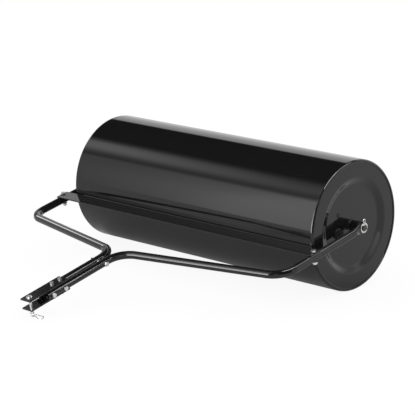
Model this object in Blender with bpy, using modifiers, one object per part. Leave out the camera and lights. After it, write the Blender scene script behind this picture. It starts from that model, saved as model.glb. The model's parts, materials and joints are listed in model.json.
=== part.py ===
"""Tow-behind lawn roller: a water-ballast drum on a bent tube towing frame.

Units are metres, +Z is up, +X runs along the drum axis and the hitch points to -Y.
The origin is on the ground, under the middle of the roller.
"""
import math

import bmesh
import bpy
from mathutils import Matrix, Vector

# Fits
fit_gap = 0.0003            # play between pieces that touch
bolt_play = 0.0004          # play of a bolt in its hole, each side
merge_distance = 0.00001

# Facets of round shapes
drum_facets = 60
round_sides = 24
tube_sides = 16
small_sides = 12            # holes, bolts and washers
wire_sides = 8
bend_steps = 6
crush_steps = 5
dish_steps = 4

# Drum
drum_radius = 0.200
drum_length = 0.990
shell_wall = 0.0025
end_wall = 0.0025
end_set_back = 0.0012       # end plate face behind the shell's edge
end_corner_radius = 0.005
skirt_length = 0.014
rim_land = 0.048            # flat ring round the dish, with the corner
dish_slope_width = 0.032
dish_depth = 0.010

# Filler
filler_offset = 0.065       # from the drum axis
filler_angle = math.radians(195.0)
plug_thread_radius = 0.0125
plug_thread_length = 0.012
plug_head_radius = 0.0165
plug_head_height = 0.004
plug_bevel = 0.001
plug_key_size = 0.010
plug_key_height = 0.003
socket_wall = 0.0035
socket_length = 0.016
socket_lip = 0.0015         # stands proud of the end plate
gasket_thickness = 0.0015

# Axle and hubs
axle_radius = 0.010
sleeve_wall = 0.0035
bush_wall = 0.0025
bush_length = 0.030
bush_flange = 0.004
inner_washer_thickness = 0.002
outer_washer_thickness = 0.0025
outer_washer_radius = 0.017
axle_end_margin = 0.0025    # axle left outside its clip
axle_chamfer = 0.001

# Towing frame tubes
tube_radius = 0.0111
tube_wall = 0.0016
bend_radius = 0.070
side_space = 0.0314         # drum end to the middle of the side arm
arm_taper = 0.0036          # the arms lean in towards the corners
front_space = 0.1628        # drum front to the corner of the frame
arm_drop = 0.0746
yoke_depth = 0.1452
yoke_rise = 0.0049
tongue_half_gap = 0.0047    # half of the slot between the tongue tubes
tongue_slope = math.radians(12.93)
tongue_length = 0.3055
tab_thickness = 0.005
tab_radius = 0.016
crush_length = 0.032
crush_sharpness = 2.5       # how far the tab's flat faces reach towards its edges

# Scraper bar
bar_width = 0.045
bar_thickness = 0.004
bar_overhang = 0.007        # past the middle of each arm
scraper_gap = 0.0063

# Hitch plates and pin
plate_width = 0.040
plate_thickness = 0.005
plate_length = 0.155
plate_nose = 0.0665         # past the tube ends
edge_bevel = 0.0006
pin_radius = 0.005
pin_head_radius = 0.0092
pin_head_height = 0.003
pin_head_bevel = 0.001
pin_from_nose = 0.0175
pin_below_plate = 0.027
pin_hole_from_tip = 0.009
pin_chamfer = 0.001

# Spring clips
hitch_wire_radius = 0.00125
hitch_loop_radius = 0.0082
hitch_loop_centre = 0.0415
hitch_loop_angles = (-60.0, 112.0)
hitch_clip_tip = 0.013
axle_wire_radius = 0.0014
axle_loop_radius = 0.0042
axle_loop_centre = 0.0232
axle_loop_angles = (-60.0, 135.0)
axle_clip_tip = 0.015
bow_start = 35.0            # angles of the bowed leg round the shaft
bow_end = 100.0
loop_steps = 7
bow_steps = 4

# Fasteners
large_bolt = {"radius": 0.004, "flats": 0.013, "head": 0.0053, "nut": 0.0075,
              "washer_radius": 0.008, "washer": 0.0016, "spare": 0.003}
small_bolt = {"radius": 0.003, "flats": 0.010, "head": 0.004, "nut": 0.006,
              "washer_radius": 0.006, "washer": 0.0014, "spare": 0.003}
spacer_radius = 0.0065

# Bolts along the tongue
neck_bolt_from_bend = 0.073
front_bolt_from_end = 0.0155        # back from the tubes' front ends
plate_bolt_from_edge = 0.0155       # the rear bolt, from the plates' rear edges
plate_bolt_spacing = 0.0315
middle_bolt_from_plate_bolt = 0.010     # ahead of the rear plate bolt, clear of it

# Colours: base colour, roughness, metallic
black_paint = ((0.010, 0.010, 0.011, 1.0), 0.12, 0.0)
frame_paint = ((0.012, 0.012, 0.013, 1.0), 0.22, 0.0)
zinc = ((0.62, 0.62, 0.60, 1.0), 0.28, 1.0)
dark_steel = ((0.10, 0.10, 0.10, 1.0), 0.35, 1.0)
nylon = ((0.80, 0.79, 0.74, 1.0), 0.45, 0.0)
black_plastic = ((0.02, 0.02, 0.02, 1.0), 0.45, 0.0)
rubber = ((0.015, 0.015, 0.015, 1.0), 0.8, 0.0)

# Worked out from the sizes above
shell_inner = drum_radius - shell_wall
skirt_radius = shell_inner - fit_gap
dish_outer = drum_radius - rim_land
end_face = drum_length / 2 - end_set_back
disc_face = end_face - dish_depth
bush_outer = axle_radius + fit_gap + bush_wall
sleeve_inner = bush_outer + fit_gap
sleeve_outer = sleeve_inner + sleeve_wall
arm_at_axle = drum_length / 2 + side_space
arm_at_corner = arm_at_axle - arm_taper
tab_inner = arm_at_axle - tab_thickness / 2
tab_outer = arm_at_axle + tab_thickness / 2
inner_washer_end = tab_inner - fit_gap
flange_end = inner_washer_end - inner_washer_thickness - fit_gap
sleeve_end = flange_end - bush_flange - fit_gap
washer_start = tab_outer + fit_gap
washer_end = washer_start + outer_washer_thickness
axle_clip_x = washer_end + fit_gap + axle_wire_radius
axle_end = axle_clip_x + axle_wire_radius + axle_end_margin
arm_reach = drum_radius + front_space
arm_slope = math.atan2(arm_drop, arm_reach)
neck_reach = arm_reach + yoke_depth
neck_drop = arm_drop - yoke_rise
tongue_offset = tongue_half_gap + tube_radius
plate_inner = tube_radius + fit_gap
plate_outer = plate_inner + plate_thickness
plate_front = tongue_length + plate_nose
plate_back = plate_front - plate_length
pin_station = plate_front - pin_from_nose
rear_plate_bolt = plate_back + plate_bolt_from_edge
plate_bolt_stations = [rear_plate_bolt, rear_plate_bolt + plate_bolt_spacing]
middle_bolt = rear_plate_bolt + middle_bolt_from_plate_bolt
tongue_bolt_stations = [neck_bolt_from_bend, middle_bolt, tongue_length - front_bolt_from_end]
pin_tip = plate_outer + pin_below_plate
socket_inner = plug_thread_radius + fit_gap
socket_outer = socket_inner + socket_wall
axle_height = drum_radius * math.cos(math.pi / drum_facets)    # a flat facet lies on the ground


def arm_point(distance, height=0.0):
    """Point over the arm's middle line, in the frame's own Y and Z about the axle."""
    forward = Vector((0.0, -math.cos(arm_slope), -math.sin(arm_slope)))
    upward = Vector((0.0, -math.sin(arm_slope), math.cos(arm_slope)))
    return forward * distance + upward * height


def tongue_point(distance, height=0.0):
    """Point over the tongue's middle line, measured from its bend."""
    bend = Vector((0.0, -neck_reach, -neck_drop))
    forward = Vector((0.0, -math.cos(tongue_slope), -math.sin(tongue_slope)))
    upward = Vector((0.0, -math.sin(tongue_slope), math.cos(tongue_slope)))
    return bend + forward * distance + upward * height


def rest_turn():
    """Turn of the frame about the axle that sets the hitch pin's tip on the ground."""
    tip = tongue_point(pin_station + pin_radius - pin_chamfer, -pin_tip)
    reach = math.hypot(tip.y, tip.z)
    return math.asin(axle_height / reach) - math.atan2(-tip.z, -tip.y)


frame_turn = rest_turn()
front_corner = Matrix.Rotation(frame_turn, 3, "X") @ tongue_point(plate_front, plate_outer)
axle_forward = (-front_corner.y - axle_height) / 2


# Scene and shared tools

def clear_scene():
    for obj in list(bpy.data.objects):
        bpy.data.objects.remove(obj, do_unlink=True)


def new_collection(name):
    collection = bpy.data.collections.new(name)
    bpy.context.scene.collection.children.link(collection)
    return collection


clear_scene()
parts = new_collection("tow_behind_lawn_roller")
cutters = new_collection("cutters")


def new_empty(name, location, parent=None, turn=0.0):
    empty = bpy.data.objects.new(name, None)
    parts.objects.link(empty)
    empty.location = location
    empty.rotation_euler = (turn, 0.0, 0.0)
    empty.parent = parent
    return empty


def new_material(name, finish):
    colour, roughness, metallic = finish
    material = bpy.data.materials.new(name)
    material.use_nodes = True
    shader = material.node_tree.nodes["Principled BSDF"]
    shader.inputs["Base Color"].default_value = colour
    shader.inputs["Roughness"].default_value = roughness
    shader.inputs["Metallic"].default_value = metallic
    material.diffuse_color = colour
    return material


def add_part(name, mesh, finish, parent, matrix=Matrix()):
    """A named piece under an empty, smooth with sharp edges kept."""
    obj = bpy.data.objects.new(name, mesh)
    parts.objects.link(obj)
    obj.parent = parent
    obj.matrix_basis = matrix
    mesh.materials.clear()
    mesh.materials.append(new_material(name, finish))
    mesh.shade_smooth()
    mesh.set_sharp_from_angle(angle=math.radians(35))
    return obj


def baked_mesh(obj):
    """The object's evaluated, welded mesh in its parent's space; the object is removed."""
    depsgraph = bpy.context.evaluated_depsgraph_get()
    mesh = bpy.data.meshes.new_from_object(obj.evaluated_get(depsgraph))
    mesh.transform(obj.matrix_basis)
    bpy.data.objects.remove(obj, do_unlink=True)
    work = bmesh.new()
    work.from_mesh(mesh)
    bmesh.ops.remove_doubles(work, verts=work.verts, dist=merge_distance)
    work.to_mesh(mesh)
    work.free()
    return mesh


def loose_object(name, data):
    obj = bpy.data.objects.new(name, data)
    bpy.context.scene.collection.objects.link(obj)
    return obj


def turned_mesh(profile, steps, closed=True):
    """Spin a profile of (radius, height) points about Z. The outer side runs downwards."""
    mesh = bpy.data.meshes.new("profile")
    points = [(radius, 0.0, height) for radius, height in profile]
    edges = [(i, i + 1) for i in range(len(points) - 1)]
    if closed:
        edges.append((len(points) - 1, 0))
    mesh.from_pydata(points, edges, [])
    obj = loose_object("profile", mesh)
    screw = obj.modifiers.new("spin", "SCREW")
    screw.axis = "Z"
    screw.steps = steps
    screw.render_steps = steps
    screw.use_merge_vertices = True
    screw.merge_threshold = merge_distance
    screw.use_smooth_shade = False
    bpy.context.view_layer.update()
    return baked_mesh(obj)


def ring_mesh(outer, inner, low, high, steps):
    return turned_mesh([(outer, high), (outer, low), (inner, low), (inner, high)], steps)


def rod_mesh(radius, low, high, steps, chamfer=0.0):
    profile = [(0.0, high), (radius - chamfer, high)]
    if chamfer > 0.0:
        profile.append((radius, high - chamfer))
        profile.append((radius, low + chamfer))
    profile += [(radius - chamfer, low), (0.0, low)]
    return turned_mesh(profile, steps, closed=False)


def hex_mesh(flats, low, high):
    work = bmesh.new()
    radius = flats / 2 / math.cos(math.pi / 6)
    bmesh.ops.create_cone(work, cap_ends=True, segments=6, radius1=radius, radius2=radius,
                          depth=high - low, matrix=Matrix.Translation((0, 0, (low + high) / 2)))
    mesh = bpy.data.meshes.new("hexagon")
    work.to_mesh(mesh)
    work.free()
    return mesh


def boolean_mesh(base, other, operation):
    """Join or cut two meshes, both in the same space."""
    target = loose_object("target", base)
    tool = loose_object("tool", other)
    step = target.modifiers.new("join", "BOOLEAN")
    step.operation = operation
    step.solver = "EXACT"
    step.object = tool
    bpy.context.view_layer.update()
    mesh = baked_mesh(target)
    bpy.data.objects.remove(tool, do_unlink=True)
    return mesh


def gathered_mesh(placed):
    """Several meshes, each with its matrix, as one mesh of separate bodies."""
    work = bmesh.new()
    for mesh, matrix in placed:
        start = len(work.verts)
        work.from_mesh(mesh)
        work.verts.ensure_lookup_table()
        bmesh.ops.transform(work, matrix=matrix, verts=work.verts[start:])
    mesh = bpy.data.meshes.new("group")
    work.to_mesh(mesh)
    work.free()
    return mesh


def cut_part(obj, name, mesh):
    """Cut a shape out of a part. The cutter is kept, hidden, in the part's own space."""
    cutter = bpy.data.objects.new(name, mesh)
    cutters.objects.link(cutter)
    cutter.parent = obj.parent
    cutter.matrix_basis = obj.matrix_basis
    cutter.hide_render = True
    cutter.display_type = "WIRE"
    step = obj.modifiers.new(name, "BOOLEAN")
    step.operation = "DIFFERENCE"
    step.solver = "EXACT"
    step.object = cutter


def tube_mesh(points, radius, sides):
    """A round bar swept along points, with closed ends."""
    curve = bpy.data.curves.new("path", "CURVE")
    curve.dimensions = "3D"
    curve.bevel_depth = radius
    curve.bevel_resolution = sides // 2 - 2
    curve.use_fill_caps = True
    spline = curve.splines.new("POLY")
    spline.points.add(len(points) - 1)
    for spot, point in zip(spline.points, points):
        spot.co = (*point, 1.0)
    obj = loose_object("path", curve)
    bpy.context.view_layer.update()
    return baked_mesh(obj)


def along_x(offset=0.0, side=1):
    """Matrix that lays a shape made about Z along X, pointing outwards on either side."""
    turn = Matrix.Rotation(side * math.pi / 2, 4, "Y")
    return Matrix.Translation((offset, 0, 0)) @ turn


def frame_matrix(point, slope, x=0.0):
    """Matrix of a plane that slopes down to the front, with Z square to it."""
    return Matrix.Translation((x, point.y, point.z)) @ Matrix.Rotation(slope, 4, "X")


def bent_path(corners, radius, steps):
    """Corner points with each inner corner rounded by an arc."""
    path = [corners[0]]
    for before, corner, after in zip(corners, corners[1:], corners[2:]):
        back = (before - corner).normalized()
        ahead = (after - corner).normalized()
        half = back.angle(ahead) / 2
        centre = corner + (back + ahead).normalized() * radius / math.sin(half)
        start = corner + back * radius / math.tan(half) - centre
        end = corner + ahead * radius / math.tan(half) - centre
        axis = start.cross(end)
        turn = start.angle(end)
        for i in range(steps + 1):
            path.append(centre + Matrix.Rotation(turn * i / steps, 3, axis) @ start)
    path.append(corners[-1])
    return path


# Drum

def drum_matrix():
    """Lays a turned drum piece along X with a flat facet at the bottom."""
    return along_x() @ Matrix.Rotation(math.pi / drum_facets, 4, "Z")


def make_shell(parent):
    half = drum_length / 2
    mesh = ring_mesh(drum_radius, shell_inner, -half, half, drum_facets)
    add_part("drum_shell", mesh, black_paint, parent, drum_matrix())


def arc_points(centre, radius, start, end, steps):
    for i in range(steps + 1):
        angle = math.radians(start + (end - start) * i / steps)
        yield centre[0] + radius * math.cos(angle), centre[1] + radius * math.sin(angle)


def dish_curve(blend):
    """Soft step from the outer ring to the sunk disc; blend runs from 0 to 1."""
    radius = dish_outer - dish_slope_width * blend
    depth = dish_depth * (1 - math.cos(math.pi * blend)) / 2
    return radius, end_face - depth


def end_plate_profile():
    corner = (skirt_radius - end_corner_radius, end_face - end_corner_radius)
    hole = sleeve_outer + fit_gap
    outside = [(hole, disc_face)]
    outside += [dish_curve(i / dish_steps) for i in range(dish_steps, -1, -1)]
    outside += list(arc_points(corner, end_corner_radius, 90, 0, 2))
    outside.append((skirt_radius, end_face - skirt_length))
    inner_skirt = skirt_radius - end_wall
    bend = end_corner_radius - end_wall
    inside = [(inner_skirt, end_face - skirt_length), (inner_skirt, end_face - end_wall - bend),
              (inner_skirt - bend, end_face - end_wall)]
    inside += [(radius, height - end_wall) for radius, height in map(dish_curve, (0.0, 1.0))]
    inside.append((hole, disc_face - end_wall))
    return outside + inside


def filler_place():
    """Filler centre on the right end's sunk disc, with Z pointing out of the drum."""
    y = filler_offset * math.cos(filler_angle)
    z = filler_offset * math.sin(filler_angle)
    return Matrix.Translation((0, y, z)) @ along_x(disc_face)


def make_end_plates(parent):
    for name, side in (("drum_end_right", 1), ("drum_end_left", -1)):
        mesh = turned_mesh(end_plate_profile(), drum_facets)
        matrix = along_x(side=side) @ Matrix.Rotation(math.pi / drum_facets, 4, "Z")
        plate = add_part(name, mesh, black_paint, parent, matrix)
        if side == 1:
            hole = rod_mesh(socket_outer + fit_gap, -2 * end_wall, 2 * end_wall, round_sides)
            hole.transform(matrix.inverted() @ filler_place())
            cut_part(plate, "filler_hole", hole)


def make_filler(parent, slide, screw):
    """Welded socket in the right end, with a screw plug on a gasket."""
    low = socket_lip - socket_length
    socket = ring_mesh(socket_outer, socket_inner, low, socket_lip, round_sides)
    add_part("filler_socket", socket, black_paint, parent, filler_place())
    gasket_low = socket_lip + fit_gap
    gasket_high = gasket_low + gasket_thickness
    gasket = ring_mesh(plug_head_radius, socket_inner, gasket_low, gasket_high, round_sides)
    add_part("filler_gasket", gasket, rubber, slide, along_x())
    head_low = gasket_high + fit_gap
    head_high = head_low + plug_head_height
    profile = [(0.0, head_high), (plug_head_radius - plug_bevel, head_high),
               (plug_head_radius, head_high - plug_bevel), (plug_head_radius, head_low),
               (plug_thread_radius, head_low), (plug_thread_radius, head_low - plug_thread_length),
               (0.0, head_low - plug_thread_length)]
    plug = turned_mesh(profile, round_sides, closed=False)
    work = bmesh.new()
    bmesh.ops.create_cube(work, size=1.0)
    size = Matrix.Diagonal((plug_key_size, plug_key_size, 2 * plug_key_height, 1.0))
    bmesh.ops.transform(work, matrix=Matrix.Translation((0, 0, head_high)) @ size, verts=work.verts)
    key = bpy.data.meshes.new("key")
    work.to_mesh(key)
    work.free()
    add_part("filler_plug", boolean_mesh(plug, key, "UNION"), black_plastic, screw, along_x())


def make_hubs(parent):
    sleeve = ring_mesh(sleeve_outer, sleeve_inner, -sleeve_end, sleeve_end, round_sides)
    add_part("axle_sleeve", sleeve, black_paint, parent, along_x())
    for name, side in (("hub_bush_right", 1), ("hub_bush_left", -1)):
        bore = axle_radius + fit_gap
        start = sleeve_end + fit_gap
        profile = [(sleeve_outer, flange_end), (sleeve_outer, start), (bush_outer, start),
                   (bush_outer, start - bush_length), (bore, start - bush_length), (bore, flange_end)]
        add_part(name, turned_mesh(profile, round_sides), nylon, parent, along_x(side=side))


# Axle, fixed in the side arms

def clip_path(shaft, wire, loop, loop_centre, loop_angles, tip):
    """Middle line of a spring clip: straight leg on X, round loop, leg bowed over the shaft."""
    path = [(-tip, 0.0), (loop_centre, 0.0)]
    path += list(arc_points((loop_centre, loop), loop, *loop_angles, loop_steps))
    bow = shaft + wire + fit_gap
    path += list(arc_points((0.0, 0.0), bow, bow_start, bow_end, bow_steps))
    path.append((-bow, bow + wire))
    return [Vector((x, y, 0.0)) for x, y in path]


def make_axle(parent):
    mesh = rod_mesh(axle_radius, -axle_end, axle_end, round_sides, axle_chamfer)
    axle = add_part("axle_rod", mesh, dark_steel, parent, along_x())
    hole_radius = axle_wire_radius + fit_gap
    bore = axle_radius + fit_gap
    washer = ring_mesh(outer_washer_radius, bore, washer_start, washer_end, round_sides)
    inner_washer_start = inner_washer_end - inner_washer_thickness
    inner = ring_mesh(sleeve_outer, bore, inner_washer_start, inner_washer_end, round_sides)
    path = clip_path(axle_radius, axle_wire_radius, axle_loop_radius, axle_loop_centre,
                     axle_loop_angles, axle_clip_tip)
    clip = tube_mesh(path, axle_wire_radius, wire_sides)
    leg_up = Matrix.Rotation(-math.pi / 2, 4, "Y")
    face_front = Matrix.Rotation(math.pi / 2, 4, "Z")
    holes = []
    for name, side in (("right", 1), ("left", -1)):
        spot = Matrix.Translation((side * axle_clip_x, 0, 0))
        holes.append((rod_mesh(hole_radius, -2 * axle_radius, 2 * axle_radius, small_sides), spot))
        add_part("axle_washer_outer_" + name, washer.copy(), zinc, parent, along_x(side=side))
        add_part("axle_washer_inner_" + name, inner.copy(), zinc, parent, along_x(side=side))
        lay = spot @ face_front @ leg_up @ Matrix.Rotation(math.pi / 2, 4, "X")
        add_part("axle_clip_" + name, clip.copy(), zinc, parent, lay)
    cut = gathered_mesh(holes)
    cut.transform(along_x().inverted())
    cut_part(axle, "axle_clip_holes", cut)


# Towing frame

def tab_scale(distance):
    """Share of the crush at a distance from the axle: 1 on the flat tab, 0 on the round tube."""
    blend = (tab_radius + crush_length - distance) / crush_length
    blend = max(0.0, min(1.0, blend))
    return blend * blend * (3 - 2 * blend)


def crush_tab(mesh, side):
    """Press the axle end of the tube into a flat tab with a round tip."""
    forward = arm_point(1.0)
    upward = arm_point(0.0, 1.0)
    for vertex in mesh.vertices:
        distance = vertex.co.dot(forward)
        share = tab_scale(distance)
        if share <= 0.0:
            continue
        height = vertex.co.dot(upward)
        across = vertex.co.x - side * arm_at_axle
        flatness = min(1.0, crush_sharpness * abs(across) / tube_radius)
        flat_across = math.copysign(tab_thickness / 2 * flatness, across)
        tip = math.sqrt(max(0.0, 1 - min(0.0, distance / tab_radius) ** 2))
        flat_height = height * tab_radius / tube_radius * tip
        new_height = height + (flat_height - height) * share
        vertex.co.x = side * arm_at_axle + across + (flat_across - across) * share
        vertex.co += upward * (new_height - height)


def tube_corners(side):
    start = arm_point(tab_radius + crush_length)
    start.x = side * arm_at_axle
    corner = Vector((side * arm_at_corner, -arm_reach, -arm_drop))
    neck = tongue_point(0.0)
    neck.x = side * tongue_offset
    end = tongue_point(tongue_length)
    end.x = side * tongue_offset
    return [start, corner, neck, end]


def tab_path(side):
    """Stations on the crushed end, close together round the tip."""
    stations = [-tab_radius * math.sin(math.radians(angle)) for angle in (75, 60, 42, 22, 0)]
    stations += [tab_radius + crush_length * i / crush_steps for i in range(crush_steps)]
    path = []
    for distance in stations:
        point = arm_point(distance)
        point.x = side * arm_at_axle
        path.append(point)
    return path


def arm_x(distance):
    """Middle of the right arm at a distance from the axle."""
    start = tab_radius + crush_length
    span = math.hypot(arm_reach, arm_drop) - start
    return arm_at_axle - arm_taper * (distance - start) / span


tube_drill_reach = tube_radius + tube_wall     # past both walls
bar_plane = tube_radius + fit_gap
bar_back = math.sqrt(drum_radius ** 2 - bar_plane ** 2) + scraper_gap
bar_middle = bar_back + bar_width / 2


def make_frame_tubes(parent):
    for name, side in (("frame_tube_right", 1), ("frame_tube_left", -1)):
        path = bent_path(tube_corners(side), bend_radius, bend_steps)
        mesh = tube_mesh(tab_path(side) + path, tube_radius, tube_sides)
        crush_tab(mesh, side)
        tube = add_part(name, mesh, frame_paint, parent)
        beyond = path[-1] + (path[-1] - path[-2]).normalized() * tube_wall
        start = path[0] + (path[1] - path[0]).normalized() * tube_wall
        bore = tube_mesh([start] + path[1:-1] + [beyond], tube_radius - tube_wall, tube_sides)
        cut_part(tube, name + "_bore", bore)
        axle_hole = rod_mesh(axle_radius + fit_gap, -2 * tab_thickness, 2 * tab_thickness, round_sides)
        holes = [(axle_hole, along_x(side * arm_at_axle))]
        drill = rod_mesh(large_bolt["radius"] + bolt_play, -tube_drill_reach, tube_drill_reach, small_sides)
        for station in tongue_bolt_stations:
            point = tongue_point(station)
            point.x = side * tongue_offset
            holes.append((drill, Matrix.Translation(point) @ along_x()))
        spot = frame_matrix(arm_point(bar_middle), arm_slope, side * arm_x(bar_middle))
        holes.append((drill, spot))
        cut_part(tube, name + "_holes", gathered_mesh(holes))


def flat_bar_mesh(width, length, thickness):
    """Rolled flat bar lying on Z = 0, with eased edges."""
    work = bmesh.new()
    bmesh.ops.create_cube(work, size=1.0)
    size = Matrix.Diagonal((width, length, thickness, 1.0))
    move = Matrix.Translation((0, 0, thickness / 2))
    bmesh.ops.transform(work, matrix=move @ size, verts=work.verts)
    bmesh.ops.bevel(work, geom=work.edges[:], offset=edge_bevel, segments=1, affect="EDGES",
                    profile=0.5, clamp_overlap=True)
    mesh = bpy.data.meshes.new("flat_bar")
    work.to_mesh(mesh)
    work.free()
    return mesh


def bolt_mesh(size, grip):
    """Hex bolt with its head above Z = 0 and its shank running down past the nut."""
    end = grip + 2 * fit_gap + size["nut"] + size["spare"]
    shank = rod_mesh(size["radius"], -end, size["head"] / 2, small_sides)
    return boolean_mesh(hex_mesh(size["flats"], 0.0, size["head"]), shank, "UNION")


def nut_mesh(size):
    """Hex nut with its upper face on Z = 0."""
    hole = rod_mesh(size["radius"] + fit_gap, -2 * size["nut"], size["nut"], small_sides)
    return boolean_mesh(hex_mesh(size["flats"], -size["nut"], 0.0), hole, "DIFFERENCE")


def washer_mesh(size):
    """Flat washer with its lower face on Z = 0."""
    hole = size["radius"] + fit_gap
    return ring_mesh(size["washer_radius"], hole, 0.0, size["washer"], small_sides)


def fasten(prefix, size, places, above, below, parent):
    """Bolts, washers and nuts at each place, clamping from above to below along Z."""
    top = above + fit_gap + size["washer"] + fit_gap
    bottom = below - fit_gap - size["washer"] - fit_gap
    bolt = bolt_mesh(size, top - bottom)
    nut = nut_mesh(size)
    washer = washer_mesh(size)
    for i, place in enumerate(places, 1):
        pieces = (("bolt", bolt, top), ("nut", nut, bottom), ("washer_upper", washer, above + fit_gap),
                  ("washer_lower", washer, below - fit_gap - size["washer"]))
        for kind, mesh, height in pieces:
            spot = place @ Matrix.Translation((0, 0, height))
            add_part(f"{prefix}_{kind}_{i}", mesh.copy(), zinc, parent, spot)


def make_scraper(parent):
    length = 2 * (arm_x(bar_middle) + bar_overhang)
    mesh = flat_bar_mesh(length, bar_width, bar_thickness)
    place = frame_matrix(arm_point(bar_middle, bar_plane), arm_slope)
    bar = add_part("scraper_bar", mesh, frame_paint, parent, place)
    drill = rod_mesh(large_bolt["radius"] + bolt_play, -bar_thickness, 2 * bar_thickness, small_sides)
    spots = [Matrix.Translation((side * arm_x(bar_middle), 0, 0)) for side in (1, -1)]
    cut_part(bar, "scraper_bolt_holes", gathered_mesh([(drill, spot) for spot in spots]))
    places = [frame_matrix(arm_point(bar_middle), arm_slope, side * arm_x(bar_middle)) for side in (1, -1)]
    fasten("scraper", large_bolt, places, bar_plane + bar_thickness, -tube_radius, parent)


def make_tongue_bolts(parent):
    outside = tongue_offset + tube_radius
    places = [Matrix.Translation(tongue_point(station)) @ along_x() for station in tongue_bolt_stations]
    fasten("tongue", large_bolt, places, outside, -outside, parent)
    half = tongue_half_gap - fit_gap
    spacer = ring_mesh(spacer_radius, large_bolt["radius"] + fit_gap, -half, half, small_sides)
    for i, place in enumerate(places, 1):
        add_part(f"tongue_spacer_{i}", spacer.copy(), zinc, parent, place)


def make_hitch_plates(parent):
    middle = (plate_front + plate_back) / 2
    for name, height in (("hitch_plate_upper", plate_inner), ("hitch_plate_lower", -plate_outer)):
        mesh = flat_bar_mesh(plate_width, plate_length, plate_thickness)
        place = frame_matrix(tongue_point(middle, height), tongue_slope)
        plate = add_part(name, mesh, frame_paint, parent, place)
        hole_radius = small_bolt["radius"] + bolt_play
        drill = rod_mesh(hole_radius, -plate_thickness, 2 * plate_thickness, small_sides)
        holes = [(drill, Matrix.Translation((0, middle - station, 0))) for station in plate_bolt_stations]
        bore = rod_mesh(pin_radius + fit_gap, -plate_thickness, 2 * plate_thickness, round_sides)
        holes.append((bore, Matrix.Translation((0, middle - pin_station, 0))))
        cut_part(plate, name + "_holes", gathered_mesh(holes))
    places = [frame_matrix(tongue_point(station), tongue_slope) for station in plate_bolt_stations]
    fasten("hitch_plate", small_bolt, places, plate_outer, -plate_outer, parent)


def make_hitch_pin(pin_axis, clip_axis):
    """Headed pin in both plates; its spring clip goes through below the lower plate."""
    seat = plate_outer + fit_gap
    top = seat + pin_head_height
    profile = [(0.0, top), (pin_head_radius - pin_head_bevel, top), (pin_head_radius, top - pin_head_bevel),
               (pin_head_radius, seat), (pin_radius, seat), (pin_radius, pin_chamfer - pin_tip),
               (pin_radius - pin_chamfer, -pin_tip), (0.0, -pin_tip)]
    pin = add_part("hitch_pin", turned_mesh(profile, round_sides, closed=False), zinc, pin_axis)
    hole_height = pin_hole_from_tip - pin_tip
    hole = rod_mesh(hitch_wire_radius + fit_gap, -2 * pin_radius, 2 * pin_radius, small_sides)
    hole.transform(Matrix.Translation((0, 0, hole_height)) @ along_x())
    cut_part(pin, "hitch_clip_hole", hole)
    path = clip_path(pin_radius, hitch_wire_radius, hitch_loop_radius, hitch_loop_centre,
                     hitch_loop_angles, hitch_clip_tip)
    mesh = tube_mesh([Vector((point.x, -point.y, 0.0)) for point in path], hitch_wire_radius, wire_sides)
    add_part("hitch_clip", mesh, zinc, clip_axis)


def build():
    axle = new_empty("axle_line", (0, axle_forward, axle_height))
    drum = new_empty("drum_spin", (0, 0, 0), axle)
    make_shell(drum)
    make_end_plates(drum)
    make_hubs(drum)
    slide = new_empty("filler_draw", filler_place().translation, drum)
    screw = new_empty("filler_screw", (0, 0, 0), slide)
    make_filler(drum, slide, screw)
    frame = new_empty("tow_frame", (0, 0, 0), axle, frame_turn)
    make_axle(frame)
    make_frame_tubes(frame)
    make_scraper(frame)
    make_tongue_bolts(frame)
    make_hitch_plates(frame)
    pin_axis = new_empty("hitch_pin_swivel", tongue_point(pin_station), frame, tongue_slope)
    clip_axis = new_empty("hitch_clip_draw", (0, 0, pin_hole_from_tip - pin_tip), pin_axis)
    make_hitch_pin(pin_axis, clip_axis)


build()
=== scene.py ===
# Tow-behind lawn roller, dressed: a gloss black water-ballast drum on a bent tube frame.

import json
import math

import bmesh
import bpy
from mathutils import Matrix, Quaternion, Vector


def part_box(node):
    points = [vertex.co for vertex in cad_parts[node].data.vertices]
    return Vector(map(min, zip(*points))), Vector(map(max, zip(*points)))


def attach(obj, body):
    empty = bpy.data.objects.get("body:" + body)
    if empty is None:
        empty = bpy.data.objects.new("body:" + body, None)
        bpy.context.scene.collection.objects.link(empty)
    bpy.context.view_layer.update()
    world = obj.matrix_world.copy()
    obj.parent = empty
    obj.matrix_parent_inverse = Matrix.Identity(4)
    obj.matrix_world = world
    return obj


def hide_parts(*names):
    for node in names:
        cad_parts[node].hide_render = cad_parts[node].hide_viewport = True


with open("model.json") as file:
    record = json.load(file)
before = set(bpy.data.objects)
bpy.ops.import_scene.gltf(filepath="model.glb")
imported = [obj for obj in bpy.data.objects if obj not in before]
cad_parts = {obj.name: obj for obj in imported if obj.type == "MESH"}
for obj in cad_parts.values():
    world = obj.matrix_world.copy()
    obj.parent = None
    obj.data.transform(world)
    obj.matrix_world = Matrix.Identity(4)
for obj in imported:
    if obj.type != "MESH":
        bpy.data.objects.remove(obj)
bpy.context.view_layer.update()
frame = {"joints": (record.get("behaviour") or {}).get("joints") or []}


# Camera
# A long lens, high and to the right of the hitch, as in the product photograph.
# The place and the angles come from the drum's two end circles and the frame's straight tubes.

scene = bpy.context.scene
camera_place = Vector((3.8631, -4.0169, 1.5870))
camera_azimuth = math.radians(42.291)
camera_elevation = math.radians(13.668)
camera_roll = math.radians(0.352)
camera_data = bpy.data.cameras.new("camera")
camera_data.sensor_width = 36.0
camera_data.lens = 164.96
camera_data.clip_end = 200.0
camera = bpy.data.objects.new("camera", camera_data)
scene.collection.objects.link(camera)
scene.camera = camera
aim = Matrix.Rotation(camera_azimuth, 4, "Z") @ Matrix.Rotation(math.pi / 2 - camera_elevation, 4, "X")
camera.matrix_world = Matrix.Translation(camera_place) @ aim @ Matrix.Rotation(camera_roll, 4, "Z")


# Drum shell
# Steel sheet rolled to a cylinder, closed with one weld along its length and powder coated gloss black.
# Its edges are rolled in over the two pressed ends.

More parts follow.
